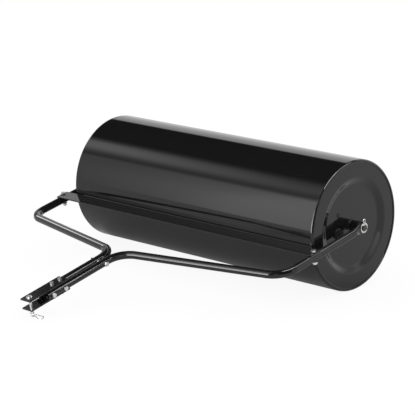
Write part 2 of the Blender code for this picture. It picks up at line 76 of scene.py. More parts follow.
class Wire:
    """An output socket of a shader node, used in sums like a number."""

    def __init__(self, tree, socket=None):
        self.tree = tree
        self.socket = socket

    def add(self, kind, settings=None, inputs=None, output=None):
        """A node with its settings and its sockets' values or links; gives its first or named output."""
        node = self.tree.nodes.new("ShaderNode" + kind)
        for name, value in (settings or {}).items():
            if name == "stops":
                elements = node.color_ramp.elements
                elements.remove(elements[1])
                elements[0].position = value[0][0]
                elements[0].color = value[0][1]
                for place, colour in value[1:]:
                    elements.new(place).color = colour
            else:
                setattr(node, name, value)
        for name, value in (inputs or {}).items():
            if isinstance(name, int):
                socket = node.inputs[name]
            else:
                socket = next(s for s in node.inputs if s.name == name and s.enabled)
            if isinstance(value, Wire):
                self.tree.links.new(value.socket, socket)
            else:
                socket.default_value = value
        return Wire(self.tree, next(s for s in node.outputs if s.enabled and output in (None, s.name)))

    def math(self, operation, *values):
        return self.add("Math", {"operation": operation}, dict(enumerate(values)))

    def split(self):
        """The X, Y and Z of a vector."""
        node = self.add("SeparateXYZ", None, {"Vector": self}).socket.node
        return [Wire(self.tree, socket) for socket in node.outputs]

    def noise(self, scale, detail, roughness=0.5):
        """A noise texture over this place."""
        return self.add("TexNoise", None,
                        {"Vector": self, "Scale": scale, "Detail": detail, "Roughness": roughness})

    def ramp(self, *stops):
        """A colour ramp through pairs of a value from 0 to 1 and its colour."""
        return self.add("ValToRGB", {"stops": stops}, {"Fac": self})

    def curve(self, *stops):
        """Straight lines through pairs of a value and its result, lowest value first."""
        low, high = stops[0][0], stops[-1][0]
        peak = max(result for value, result in stops)
        share = (self - low) / (high - low)
        return share.ramp(*[((value - low) / (high - low), grey(result / peak))
                            for value, result in stops]) * peak

    def blend(self, first, second):
        """A colour between two, as far from the first as this wire says."""
        return self.add("Mix", {"data_type": "RGBA"}, {"Factor": self, "A": first, "B": second})

    def bump(self, strength, distance):
        """The surface's normal with this wire as its relief."""
        return self.add("Bump", None, {"Height": self, "Strength": strength, "Distance": distance})

    def __add__(self, other):
        return self.math("ADD", self, other)

    def __sub__(self, other):
        return self.math("SUBTRACT", self, other)

    def __rsub__(self, other):
        return self.math("SUBTRACT", other, self)

    def __mul__(self, other):
        return self.math("MULTIPLY", self, other)

    def __truediv__(self, other):
        return self.math("DIVIDE", self, other)

    def __pow__(self, other):
        return self.math("POWER", self, other)

    __radd__ = __add__
    __rmul__ = __mul__


def grey(value):
    return (value, value, value, 1.0)


def new_surface(name, colour, roughness, metallic=0.0):
    """A Principled material, its Object coordinates and its shader's sockets."""
    material = bpy.data.materials.new(name)
    material.use_nodes = True
    shader = material.node_tree.nodes["Principled BSDF"]
    shader.inputs["Base Color"].default_value = colour
    shader.inputs["Roughness"].default_value = roughness
    shader.inputs["Metallic"].default_value = metallic
    return material, Wire(material.node_tree).add("TexCoord", output="Object"), shader.inputs


def link(wire, socket):
    wire.tree.links.new(wire.socket, socket)


def powder_coat(name, gloss_roughness, scuff):
    """Gloss black powder coat: faint orange peel, clouded gloss, settled dust and fine handling scuffs."""
    material, place, sockets = new_surface(name, grey(0.010), gloss_roughness)
    cloud = place.noise(9.0, 4.0, 0.6)
    peel = place.noise(420.0, 2.0)
    specks = place.noise(1500.0, 1.0).ramp((0.70, grey(0.0)), (0.78, grey(1.0)))
    patches = cloud.ramp((0.45, grey(0.0)), (0.75, grey(1.0)))
    stretched = place.add("Mapping", {"vector_type": "POINT"},
                          {"Vector": place, "Rotation": (0.3, 0.5, 0.2), "Scale": (18.0, 260.0, 150.0)})
    scratches = stretched.noise(1.0, 3.0).ramp((0.66, grey(0.0)), (0.70, grey(1.0)))
    scuffed = patches * scratches * scuff
    dusty = specks * patches * 0.25 + scuffed * 0.2
    link(dusty.blend((0.0095, 0.0095, 0.0100, 1.0), (0.060, 0.058, 0.055, 1.0)), sockets["Base Color"])
    link(cloud * 0.05 + scuffed * 0.12 + (gloss_roughness - 0.025), sockets["Roughness"])
    link(peel.bump(0.10, 0.00012), sockets["Normal"])
    return material


def start_ring(name, centre, facing, radius, sides):
    """A circle square to the direction facing, as the start of a turned or bent piece, in edit mode."""
    bpy.ops.object.select_all(action="DESELECT")
    turn = Vector(facing).to_track_quat("Z", "Y")
    bpy.ops.mesh.primitive_circle_add(vertices=sides, radius=radius, location=centre,
                                      rotation=turn.to_euler())
    obj = bpy.context.object
    obj.name = name
    bpy.ops.object.transform_apply(location=True, rotation=True, scale=True)
    bpy.ops.object.mode_set(mode="EDIT")
    bpy.ops.mesh.select_all(action="SELECT")
    return obj


def turned(name, centre, facing, profile, sides, closed=False, caps=False):
    """Turns a profile of (height along facing, radius): each step is an extrude and a resize."""
    facing = Vector(facing).normalized()
    centre = Vector(centre)
    points = list(profile)
    if closed:
        points.append(points[0])
    height, radius = points[0]
    obj = start_ring(name, centre + facing * height, facing, radius, sides)
    if caps:
        bpy.ops.mesh.edge_face_add()
    for new_height, new_radius in points[1:]:
        bpy.ops.mesh.extrude_region_move(
            TRANSFORM_OT_translate={"value": facing * (new_height - height)})
        scale = new_radius / radius
        bpy.ops.transform.resize(value=(scale, scale, scale), center_override=centre + facing * new_height)
        height, radius = new_height, new_radius
    bpy.ops.mesh.select_all(action="SELECT")
    bpy.ops.mesh.remove_doubles(threshold=0.000002)
    bpy.ops.mesh.normals_make_consistent(inside=False)
    bpy.ops.object.mode_set(mode="OBJECT")
    return obj


def apply_modifier(obj, kind, **settings):
    bpy.ops.object.select_all(action="DESELECT")
    bpy.context.view_layer.objects.active = obj
    obj.select_set(True)
    step = obj.modifiers.new("step", kind)
    for name, value in settings.items():
        setattr(step, name, value)
    bpy.ops.object.modifier_apply(modifier=step.name)


def ease_edges(obj, width, segments=2, angle=40.0):
    apply_modifier(obj, "BEVEL", width=width, segments=segments, limit_method="ANGLE",
                   angle_limit=math.radians(angle), harden_normals=False)


def finish_piece(obj, material, slot, body, *nodes, smooth=35.0):
    """Shades the piece, gives it its material and hands it to its body."""
    bpy.ops.object.select_all(action="DESELECT")
    bpy.context.view_layer.objects.active = obj
    obj.select_set(True)
    bpy.ops.object.transform_apply(location=True, rotation=True, scale=True)
    bpy.ops.object.shade_smooth_by_angle(angle=math.radians(smooth))
    apply_modifier(obj, "WEIGHTED_NORMAL", keep_sharp=True)
    obj.data.materials.clear()
    obj.data.materials.append(material)
    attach(obj, body)
    if nodes:
        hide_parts(*nodes)
    return obj


joints = {joint["name"]: joint for joint in frame["joints"]}
axle = Vector(joints["drum_spin"]["pos_m"])
right = Vector((1, 0, 0))
drum_radius = 0.200
shell_wall = 0.0025
shell_sides = 240
lip_radius = 0.0075        # outside, where an edge is rolled in
lip_reach = 0.0090
lip_proud = 0.0015
lip_steps = 10
shell_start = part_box("drum_shell")[0].x
shell_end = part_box("drum_shell")[1].x
drum_paint = powder_coat("drum_paint", gloss_roughness=0.07, scuff=1.0)
lip = [(shell_end + lip_proud, drum_radius - lip_reach)]
for i in range(lip_steps + 1):
    turn = math.pi / 2 * (1 - i / lip_steps)
    lip.append((shell_end + lip_proud - lip_radius * (1 - math.sin(turn)),
                drum_radius - lip_radius * (1 - math.cos(turn))))
shell = turned("drum_shell_skin", (0, axle.y, axle.z), right,
               [(-height, radius) for height, radius in lip] + lip[::-1], shell_sides)
apply_modifier(shell, "SOLIDIFY", thickness=shell_wall, offset=-1.0)
ease_edges(shell, width=0.0008, segments=3)
finish_piece(shell, drum_paint, "drum_paint", "drum", "drum_shell")

seam_angle = math.radians(-25.0)        # behind the axle and below it
seam_step = 0.0025
seam_radius = 0.0016
seam_sunk = 0.55        # of its radius, in the shell
seam_swell = 1.10
seam_out = Vector((0, math.cos(seam_angle), math.sin(seam_angle)))
seam_inset = 0.012
seam_steps = round((shell_end - shell_start - 2 * seam_inset) / seam_step)
seam = start_ring("drum_seam_weld", axle + seam_out * (drum_radius - seam_radius * seam_sunk)
                  + right * (shell_start + seam_inset), right, seam_radius, sides=12)
bpy.ops.mesh.edge_face_add()
for i in range(seam_steps):
    swell = seam_swell if i % 2 == 0 else 1 / seam_swell
    bpy.ops.mesh.extrude_region_move(TRANSFORM_OT_translate={"value": right * seam_step})
    bpy.ops.transform.resize(value=(1, swell, swell))
bpy.ops.mesh.select_all(action="SELECT")
bpy.ops.mesh.normals_make_consistent(inside=False)
bpy.ops.object.mode_set(mode="OBJECT")
finish_piece(seam, drum_paint, "drum_paint", "drum", smooth=60.0)


# Drum ends
# Two pressed steel plates: a flat ring outside, a soft step and a sunk flat disc round the axle sleeve.
# Each is pushed into the shell and welded all round, then coated with it.

end_set_back = 0.0012
end_wall = 0.0025
end_corner = 0.005
skirt_length = 0.014
rim_land = 0.048
dish_width = 0.032
dish_depth = 0.010
end_radius = drum_radius - shell_wall - 0.0002
hub_hole = 0.0170
end_weld_shift = 0.0003        # off the corner between the plate and the rolled edge
filler_place = Vector(joints["filler_plug_turn"]["pos_m"])
socket_outer = 0.0163
both_ends = ((1, "right"), (-1, "left"))


def dish_profile(corner_steps=8, dish_steps=20):
    """Heights below the plate's outer face and radii, from the hub hole out to the skirt's edge."""
    profile = [(-dish_depth, hub_hole)]
    for i in range(dish_steps + 1):
        share = 1 - i / dish_steps
        depth = dish_depth * (1 - math.cos(math.pi * share)) / 2
        profile.append((-depth, drum_radius - rim_land - dish_width * share))
    for i in range(corner_steps + 1):
        turn = math.pi / 2 * i / corner_steps
        profile.append((-end_corner * (1 - math.cos(turn)),
                        end_radius - end_corner * (1 - math.sin(turn))))
    profile.append((-skirt_length, end_radius))
    return profile


def drilled(obj, centre, along, radius, depth, sides=32):
    """Cuts a round hole through a piece."""
    bpy.ops.object.select_all(action="DESELECT")
    turn = Vector(along).to_track_quat("Z", "Y")
    bpy.ops.mesh.primitive_cylinder_add(vertices=sides, radius=radius, depth=depth, location=centre,
                                        rotation=turn.to_euler())
    drill = bpy.context.object
    apply_modifier(obj, "BOOLEAN", operation="DIFFERENCE", solver="EXACT", object=drill)
    bpy.data.objects.remove(drill, do_unlink=True)


def weld_ring(name, centre, facing, radius, bead, ripples):
    """A round fillet weld on the drum: a bead turned in full, swollen and pinched by turns."""
    ripple_swell = bead * 0.16
    facing = Vector(facing)
    bpy.ops.object.select_all(action="DESELECT")
    bpy.ops.mesh.primitive_torus_add(major_segments=ripples * 2, minor_segments=10, major_radius=radius,
                                     minor_radius=bead, location=(0, 0, 0),
                                     rotation=facing.to_track_quat("Z", "Y").to_euler())
    obj = bpy.context.object
    obj.name = name
    bpy.ops.object.transform_apply(location=True, rotation=True, scale=True)
    bpy.ops.object.mode_set(mode="EDIT")
    work = bmesh.from_edit_mesh(obj.data)
    for face in work.faces:
        face.select = False
    side = facing.orthogonal().normalized()
    ahead = facing.cross(side)
    step = math.pi / ripples
    for vertex in work.verts:
        angle = math.atan2(vertex.co.dot(ahead), vertex.co.dot(side)) % (2 * math.pi)
        vertex.select = round(angle / step) % 2 == 0
    work.select_flush_mode()
    bmesh.update_edit_mesh(obj.data)
    bpy.ops.transform.shrink_fatten(value=ripple_swell)
    bpy.ops.mesh.select_all(action="SELECT")
    bpy.ops.transform.translate(value=centre)
    bpy.ops.object.mode_set(mode="OBJECT")
    return finish_piece(obj, drum_paint, "drum_paint", "drum", smooth=60.0)


for side, word in both_ends:
    outward = right * side
    face = Vector((side * (shell_end - end_set_back), axle.y, axle.z))
    plate = turned("drum_end_plate_" + word, face, outward, dish_profile(), shell_sides)
    inward = plate.data.polygons[0].normal.dot(outward) > 0
    apply_modifier(plate, "SOLIDIFY", thickness=end_wall, offset=-1.0 if inward else 1.0)
    if side == 1:
        drilled(plate, filler_place, right, socket_outer, depth=0.02, sides=48)
    finish_piece(plate, drum_paint, "drum_paint", "drum", "drum_end_" + word)
    step = Vector((side * (shell_end - end_set_back + end_weld_shift), axle.y, axle.z))
    weld_ring("drum_end_weld_" + word, step, outward, drum_radius - lip_reach - end_weld_shift,
              bead=0.0012, ripples=230)


# Axle sleeve and hub bushes
# A steel tube through the drum keeps the ballast off the axle and is welded into both ends.
# A flanged bush of black nylon is pressed into each end of it.

fit = 0.0003        # play between pieces that touch
round_sides = 64    # of small turned pieces
sleeve_radius = 0.0166
sleeve_bore = 0.0131
sleeve_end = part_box("axle_sleeve")[1].x
axle_line = Vector((0, axle.y, axle.z))
sleeve = turned("axle_sleeve_tube", axle_line, right,
                [(-sleeve_end, sleeve_radius), (sleeve_end, sleeve_radius), (sleeve_end, sleeve_bore),
                 (-sleeve_end, sleeve_bore)], round_sides, closed=True)
ease_edges(sleeve, width=0.0004)
finish_piece(sleeve, drum_paint, "drum_paint", "drum", "axle_sleeve")

nylon, place, sockets = new_surface("nylon", grey(0.022), 0.42)
grain = place.noise(900.0, 2.0)
link(grain.blend(grey(0.018), (0.030, 0.029, 0.027, 1.0)), sockets["Base Color"])
link(grain * 0.2 + 0.32, sockets["Roughness"])

bush_flange_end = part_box("hub_bush_right")[1].x
rod_bore = 0.0103        # of the bushes and the axle's washers
bush_outer = 0.0128
bush_length = 0.030
disc_face = shell_end - end_set_back - dish_depth
sleeve_weld_shift = 0.0006
for side, word in both_ends:
    bush = turned("hub_bush_nylon_" + word, axle_line, right * side,
                  [(bush_flange_end, rod_bore), (bush_flange_end, sleeve_radius),
                   (sleeve_end + fit, sleeve_radius), (sleeve_end + fit, bush_outer),
                   (sleeve_end - bush_length, bush_outer), (sleeve_end - bush_length, rod_bore)],
                  round_sides, closed=True)
    ease_edges(bush, width=0.0003)
    finish_piece(bush, nylon, "nylon", "drum", "hub_bush_" + word)
    disc = Vector((side * (disc_face + sleeve_weld_shift), axle.y, axle.z))
    weld_ring("axle_sleeve_weld_" + word, disc, right * side, sleeve_radius + sleeve_weld_shift,
              bead=0.0020, ripples=20)


# Filler
# A threaded steel socket welded into the right end, closed by a moulded plastic screw plug.
# The plug has a square key for a spanner and seals on a rubber ring.

socket_bore = 0.0128
socket_low, socket_high = (corner.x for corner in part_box("filler_socket"))
socket_rim = socket_outer - fit
filler_line = Vector((0, filler_place.y, filler_place.z))
socket = turned("filler_socket_ring", filler_line, right,
                [(socket_low, socket_bore), (socket_high, socket_bore), (socket_high, socket_rim),
                 (socket_low, socket_rim)], round_sides, closed=True)
ease_edges(socket, width=0.0004)
finish_piece(socket, drum_paint, "drum_paint", "drum", "filler_socket")
weld_ring("filler_socket_weld", filler_line + right * (disc_face + 0.0002), right, socket_outer,
          bead=0.0012, ripples=22)

rubber, place, sockets = new_surface("rubber", grey(0.014), 0.75)
bloom = place.noise(600.0, 3.0)
link(bloom.blend(grey(0.010), grey(0.022)), sockets["Base Color"])
link(bloom * 0.2 + 0.62, sockets["Roughness"])
gasket_low, gasket_high = (corner.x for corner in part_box("filler_gasket"))
plug_radius = 0.0165
gasket = turned("filler_gasket_ring", filler_line, right,
                [(gasket_low, socket_bore), (gasket_high, socket_bore), (gasket_high, plug_radius),
                 (gasket_low, plug_radius)], round_sides, closed=True)
ease_edges(gasket, width=0.0005, segments=3)
finish_piece(gasket, rubber, "rubber", "filler_seal", "filler_gasket")

plastic, place, sockets = new_surface("moulded_plastic", grey(0.018), 0.42)
pores = place.noise(2200.0, 2.0)
link(pores.blend(grey(0.014), grey(0.024)), sockets["Base Color"])
link(pores * 0.16 + 0.34, sockets["Roughness"])
sockets["Specular IOR Level"].default_value = 0.15
link(pores.bump(0.25, 0.0002), sockets["Normal"])

plug_low, plug_top = (corner.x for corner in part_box("filler_plug"))
key_height = 0.003
key_size = 0.010
key_sunk = 0.001        # in the head, for the union
head_height = 0.004
head_top = plug_top - key_height
head_low = head_top - head_height
thread_radius = 0.0125
thread_root = thread_radius - 0.0008
thread_pitch = 0.004
thread_turns = 2
thread_flank = 0.0006
thread_crest = 0.0012
plug_tip = 0.0012        # chamfer before the first turn
plug_profile = [(plug_low, thread_radius - plug_tip)]
for i in range(thread_turns):
    rise = plug_low + plug_tip + i * thread_pitch
    fall = rise + thread_flank + thread_crest
    plug_profile += [(rise, thread_root), (rise + thread_flank, thread_radius),
                     (fall, thread_radius), (fall + thread_flank, thread_root)]
plug_profile += [(head_low, thread_root), (head_low, plug_radius), (head_top, plug_radius)]
plug = turned("filler_plug_moulding", filler_line, right, plug_profile, round_sides, caps=True)
bpy.ops.object.select_all(action="DESELECT")
key_middle = head_top + (key_height - key_sunk) / 2
bpy.ops.mesh.primitive_cube_add(size=1.0, location=filler_line + right * key_middle,
                                scale=(key_height + key_sunk, key_size, key_size))
key = bpy.context.object
bpy.ops.object.transform_apply(location=True, rotation=True, scale=True)
ease_edges(key, width=0.0008, segments=3)
apply_modifier(plug, "BOOLEAN", operation="UNION", solver="EXACT", object=key)
bpy.data.objects.remove(key, do_unlink=True)
ease_edges(plug, width=0.0004)
finish_piece(plug, plastic, "black_plastic", "filler_plug", "filler_plug")


# Axle
# A turned steel rod held in both arms, with a dark washer inside and a zinc plated one outside each arm.
# A spring clip through each end keeps it there: wire, bent to a loop so that one leg springs over the rod.

dark_steel, place, sockets = new_surface("dark_steel", grey(0.03), 0.32, 1.0)
centred = place.add("Mapping", {"vector_type": "POINT"},
                    {"Vector": place, "Location": (0, -axle.y, -axle.z)})
turning = centred.add("TexWave", {"wave_type": "RINGS", "rings_direction": "X"},
                      {"Vector": centred, "Scale": 900.0, "Distortion": 0.6, "Detail": 1.0}, output="Fac")
stain = place.noise(160.0, 4.0)
oiled = stain.blend((0.020, 0.019, 0.018, 1.0), (0.055, 0.053, 0.050, 1.0))
across_frame = place.split()[0]
cut_start, cut_full = 0.5332, 0.5336        # the rod's ends, sawn to length and bare
cut = across_frame.math("ABSOLUTE", across_frame).curve((cut_start, 0.0), (cut_full, 1.0))
link(cut.blend(oiled, (0.105, 0.103, 0.100, 1.0)), sockets["Base Color"])
link(stain * 0.25 + turning * 0.08 + 0.18, sockets["Roughness"])
link(turning.bump(0.25, 0.0001), sockets["Normal"])

zinc, place, sockets = new_surface("zinc_plate", (0.70, 0.70, 0.69, 1.0), 0.25, 1.0)
spangle = place.noise(380.0, 4.0, 0.65)
film = place.noise(90.0, 2.0)
link(film.ramp((0.30, (0.72, 0.72, 0.73, 1.0)), (0.52, (0.86, 0.86, 0.86, 1.0)),
               (0.72, (0.80, 0.79, 0.75, 1.0))), sockets["Base Color"])
link(spangle * 0.28 + 0.12, sockets["Roughness"])
link(spangle.bump(0.12, 0.0001), sockets["Normal"])


class BentRod:
    """A round bar or tube fed and bent like in a bending machine, ring by ring, in edit mode."""

    def __init__(self, name, start, heading, radius, sides):
        self.heading = Vector(heading).normalized()
        self.tip = Vector(start)
        self.obj = start_ring(name, self.tip, self.heading, radius, sides)

    def close(self):
        bpy.ops.mesh.edge_face_add()
        return self

    def feed(self, length):
        step = self.heading * length
        bpy.ops.mesh.extrude_region_move(TRANSFORM_OT_translate={"value": step})
        self.tip = self.tip + step
        return self

    def bend(self, axis, angle, radius, steps):
        """Bends round an axis by an angle in degrees, to a radius on the middle line."""
        axis = Vector(axis).normalized()
        if angle < 0:
            axis, angle = -axis, -angle
        centre = self.tip + axis.cross(self.heading) * radius
        bpy.ops.mesh.spin(steps=steps, angle=-math.radians(angle), center=centre, axis=axis)
        turn = Matrix.Rotation(math.radians(angle), 3, axis)
        self.tip = centre + turn @ (self.tip - centre)
        self.heading = turn @ self.heading
        return self

    def done(self):
        bpy.ops.mesh.select_all(action="SELECT")
        bpy.ops.mesh.remove_doubles(threshold=0.000002)
        bpy.ops.mesh.normals_make_consistent(inside=False)
        bpy.ops.object.mode_set(mode="OBJECT")
        return self.obj


def spring_clip(name, place, along, across, shaft, wire_radius, tip, loop_place, loop):
    """A spring clip: a straight leg through the shaft, a round loop and a leg bowed over the shaft."""
    along = Vector(along).normalized()
    across = Vector(across).normalized()
    square = along.cross(across)
    bow = shaft + wire_radius + fit
    bow_start = math.radians(38)        # round the shaft, from the straight leg's way
    rod = BentRod(name, Vector(place) - along * tip, along, wire_radius, sides=16).close()
    rod.feed(tip + loop_place)
    rod.bend(square, angle=202.0, radius=loop, steps=18)
    valley = Vector(place) + (along * math.cos(bow_start) + across * math.sin(bow_start)) * bow
    rod.feed((valley - rod.tip).dot(rod.heading) - 0.001)
    rod.bend(square, angle=-60.0, radius=0.003, steps=6)
    rod.bend(square, angle=62.0, radius=bow, steps=8)
    rod.bend(square, angle=-35.0, radius=0.004, steps=4)
    rod.feed(0.002)
    rod.close()
    return rod.done()


axle_radius = 0.010
axle_chamfer = 0.003
axle_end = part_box("axle_rod")[1].x
arm_slope = math.radians(12.13)
arm_forward = Vector((0, -math.cos(arm_slope), -math.sin(arm_slope)))
arm_up = Vector((0, -math.sin(arm_slope), math.cos(arm_slope)))
rod = turned("axle_steel_rod", axle_line, right,
             [(-axle_end, axle_radius - axle_chamfer), (axle_chamfer - axle_end, axle_radius),
              (axle_end - axle_chamfer, axle_radius), (axle_end, axle_radius - axle_chamfer)],
             round_sides, caps=True)
frame_lean = math.radians(0.508)
clip_up = Vector((0, -math.sin(frame_lean), math.cos(frame_lean)))
clip_forward = Vector((0, -math.cos(frame_lean), -math.sin(frame_lean)))
clip_wire = 0.0014
for side, word in both_ends:
    low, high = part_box("axle_clip_" + word)
    clip_place = Vector(((low.x + high.x) / 2, axle.y, axle.z))
    drilled(rod, clip_place, clip_up, clip_wire + fit, depth=0.04, sides=16)
    clip = spring_clip("axle_spring_clip_" + word, clip_place, clip_up, clip_forward, axle_radius,
                       clip_wire, tip=0.015, loop_place=0.0232, loop=0.0042)
    finish_piece(clip, zinc, "zinc", "tow_frame", "axle_clip_" + word, smooth=60.0)
    for kind, radius, metal, slot in (("outer", 0.016, zinc, "zinc"),
                                      ("inner", sleeve_radius, dark_steel, "dark_steel")):
        node = f"axle_washer_{kind}_{word}"
        low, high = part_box(node)
        washer = turned(f"axle_{kind}_washer_{word}", axle_line, right,
                        [(low.x, rod_bore), (high.x, rod_bore), (high.x, radius), (low.x, radius)],
                        round_sides, closed=True)
        ease_edges(washer, width=0.0004, segments=3)
        finish_piece(washer, metal, slot, "tow_frame", node)
finish_piece(rod, dark_steel, "dark_steel", "tow_frame", "axle_rod")


# Towing frame tubes
# Each side is one steel tube, crushed flat and drilled at the axle, bent round the drum's corner and
# bent again into the tongue. Both are coated gloss black; their front ends stay open.

frame_paint = powder_coat("frame_paint", gloss_roughness=0.10, scuff=1.6)
tube_radius = 0.0119
tube_wall = 0.0016
tube_sides = 48
tube_front = 0.049        # behind the pin
bend_radius = 0.070
tab_half = 0.0025
tab_radius = 0.016
crush_length = 0.032
crush_steps = 12
crush_sharpness = 2.5
tip_angles = (50, 25, 0, -20, -38, -54, -66, -74)        # where the tab's round tip is pressed
arm_start = Vector((0.5264, 0.2897, 0.18964))
arm_corner = Vector((0.5228, -0.02549, 0.12191))
neck = Vector((0.0158, -0.17073, 0.12552))
tongue_up = Vector(joints["hitch_pin_swivel"]["axis"])
tongue_forward = right.cross(tongue_up)
pin_middle = Vector(joints["hitch_pin_swivel"]["pos_m"])


def on_arm(distance, above=0.0):
    """A place at a distance in front of the axle along the arms, and above their middle line."""
    return axle_line + arm_forward * distance + arm_up * above


def on_tongue(behind_pin, above=0.0):
    """A place behind the hitch pin along the tongue, and above its tubes' middle."""
    return pin_middle - tongue_forward * behind_pin + tongue_up * above


def crush_share(distance):
    """How far the tube is crushed at a distance from the axle: 0 where round, 1 where flat."""
    share = max(0.0, min(1.0, (tab_radius + crush_length - distance) / crush_length))
    return share * share * (3 - 2 * share)


def press_ring(obj, middle, half):
    """Flattens what stands out of two jaws at half a distance from the middle plane."""
    work = bmesh.from_edit_mesh(obj.data)
    ring = [v for v in work.verts if v.select]
    for way in (1, -1):
        bpy.ops.mesh.select_all(action="DESELECT")
        found = False
        for vertex in ring:
            if (vertex.co.x - middle) * way > half:
                vertex.select = True
                found = True
        work.select_flush_mode()
        bmesh.update_edit_mesh(obj.data)
        if found:
            bpy.ops.transform.resize(value=(0, 1, 1), center_override=(middle + way * half, 0, 0))
    bpy.ops.mesh.select_all(action="DESELECT")
    for vertex in ring:
        vertex.select = True
    work.select_flush_mode()
    bmesh.update_edit_mesh(obj.data)


def select_ring(obj, centre, reach):
    """Selects the tube's first ring again, to go on from it the other way."""
    work = bmesh.from_edit_mesh(obj.data)
    for vertex in work.verts:
        vertex.select = (vertex.co - centre).length < reach
    work.select_flush_mode()
    bmesh.update_edit_mesh(obj.data)


def frame_tube(name, side):
    """One side's tube: crushed from its first ring back past the axle, then fed and bent forwards."""
    mirror = Matrix.Diagonal((side, 1, 1))
    start, corner, bend = mirror @ arm_start, mirror @ arm_corner, mirror @ neck
    end = mirror @ (on_tongue(tube_front) + right * neck.x)
    arm_way = (corner - start).normalized()
    yoke_way = (bend - corner).normalized()
    tongue_way = (end - bend).normalized()
    tube = BentRod(name, start, -arm_way, tube_radius, tube_sides)
    width = height = 1.0
    distance = tab_radius + crush_length
    stations = [tab_radius + crush_length * (1 - i / crush_steps) for i in range(1, crush_steps + 1)]
    stations += [tab_radius * math.sin(math.radians(angle)) for angle in tip_angles]
    for station in stations:
        share = crush_share(station)
        new_width = 1 + (crush_sharpness * tab_half / tube_radius - 1) * share
        round_tip = math.sqrt(1 - (min(0.0, station) / tab_radius) ** 2)
        new_height = (1 + (tab_radius / tube_radius - 1) * share) * round_tip
        tube.feed(distance - station)
        squash = new_height / height
        bpy.ops.transform.resize(value=(new_width / width, squash, squash), center_override=tube.tip)
        press_ring(tube.obj, tube.tip.x, tube_radius + (tab_half - tube_radius) * share)
        distance, width, height = station, new_width, new_height
    select_ring(tube.obj, start, reach=tube_radius * 1.02)
    tube.tip = start
    tube.heading = arm_way
    for corner_place, before, after in ((corner, arm_way, yoke_way), (bend, yoke_way, tongue_way)):
        angle = before.angle(after)
        setback = bend_radius * math.tan(angle / 2)
        tube.feed((corner_place - tube.tip).length - setback)
        tube.bend(before.cross(after), math.degrees(angle), bend_radius, steps=20)
    tube.feed((end - tube.tip).length)
    obj = tube.done()
    apply_modifier(obj, "SOLIDIFY", thickness=tube_wall, offset=-1.0)
    return obj


bar_middle = 0.2285        # in front of the axle, along the arm
arm_x = 0.5244
bolt_hole = 0.0044
tongue_bolts = (0.2815, 0.1120, 0.0645)        # behind the pin
plate_bolts = (0.1220, 0.0905)
for side, word in both_ends:
    tube = frame_tube("frame_bent_tube_" + word, side)
    drilled(tube, on_arm(0) + right * side * arm_start.x, right, axle_radius + fit, depth=0.02, sides=48)
    drilled(tube, on_arm(bar_middle) + right * side * arm_x, arm_up, bolt_hole, depth=0.03)
    for station in tongue_bolts:
        drilled(tube, on_tongue(station) + right * side * neck.x, right, bolt_hole, depth=0.028)
    ease_edges(tube, width=0.0003, segments=1, angle=60.0)
    finish_piece(tube, frame_paint, "frame_paint", "tow_frame", "frame_tube_" + word, smooth=40.0)


# Scraper bar
# A length of flat bar bolted across both arms, close in front of the drum, coated with the frame.
# Its long edges are rolled and its ends are sheared.

bar_width = 0.045
bar_thickness = 0.004
bar_overhang = 0.007        # past the middle of each arm
bar_length = 2 * (arm_x + bar_overhang)
bar_plane = tube_radius + fit


def flat_bar(name, middle, way_across, way_up, size):
    """Flat bar with rolled edges: a cube at its size, its edges bevelled round."""
    bpy.ops.object.select_all(action="DESELECT")
    bpy.ops.mesh.primitive_cube_add(size=1.0)
    obj = bpy.context.object
    obj.name = name
    obj.scale = size
    bpy.ops.object.transform_apply(location=True, rotation=True, scale=True)
    ease_edges(obj, width=0.0007, segments=3)
    side_way = Vector(way_up).cross(way_across)
    turn = Matrix((way_across, side_way, way_up)).transposed().to_4x4()
    obj.matrix_world = Matrix.Translation(middle) @ turn
    bpy.ops.object.select_all(action="DESELECT")
    obj.select_set(True)
    bpy.ops.object.transform_apply(location=True, rotation=True, scale=True)
    return obj


bar = flat_bar("scraper_flat_bar", on_arm(bar_middle, bar_plane + bar_thickness / 2), right, arm_up,
               (bar_length, bar_width, bar_thickness))
for side in (1, -1):
    drilled(bar, on_arm(bar_middle, bar_plane) + right * side * arm_x, arm_up, bolt_hole, depth=0.02)
finish_piece(bar, frame_paint, "frame_paint", "tow_frame", "scraper_bar")


# Bolts, nuts and washers
# Zinc plated hexagon bolts and nuts: M8 with dark washers through the tubes and the scraper bar, M6 with
# zinc plated ones through the hitch plates. Heads and nuts are chamfered; the threads show past the nuts.

chamfer_slope = 0.58        # of a chamfer at 30 degrees
corner_cut = 0.09           # of the width across flats, off the corners of heads and nuts
thread_depth = 0.55         # of the pitch
thread_play = 0.0001
thread_stop = 0.001         # in from the nut's face
thread_taper = 0.0002       # at the bolt's end
shank_sunk = 0.0005         # in the head
first_turn = 5.0            # in degrees: each bolt and nut stands as it was tightened
turn_step = 17.0


def blank(name, radius, low, high, chamfer_low, chamfer_high):
    """A turned blank, chamfered where asked, to trim a hexagon's corners with."""
    profile = [(low, radius - chamfer_low), (low + chamfer_slope * chamfer_low, radius),
               (high - chamfer_slope * chamfer_high, radius), (high, radius - chamfer_high)]
    return turned(name, (0, 0, 0), (0, 0, 1), profile, sides=48, caps=True)


def hexagon(name, flats, low, high, chamfer_low, chamfer_high):
    """A hexagon bar's end, its corners trimmed by the turned blank."""
    radius = flats / math.sqrt(3)
    obj = blank(name, radius, low, high, chamfer_low, chamfer_high)
    bpy.ops.object.select_all(action="DESELECT")
    bpy.ops.mesh.primitive_cylinder_add(vertices=6, radius=radius, depth=(high - low) * 1.5,
                                        location=(0, 0, (low + high) / 2))
    stock = bpy.context.object
    apply_modifier(obj, "BOOLEAN", operation="INTERSECT", solver="EXACT", object=stock)
    bpy.data.objects.remove(stock, do_unlink=True)
    return obj


def joined(first, second):
    bpy.ops.object.select_all(action="DESELECT")
    first.select_set(True)
    second.select_set(True)
    bpy.context.view_layer.objects.active = first
    bpy.ops.object.join()
    return first


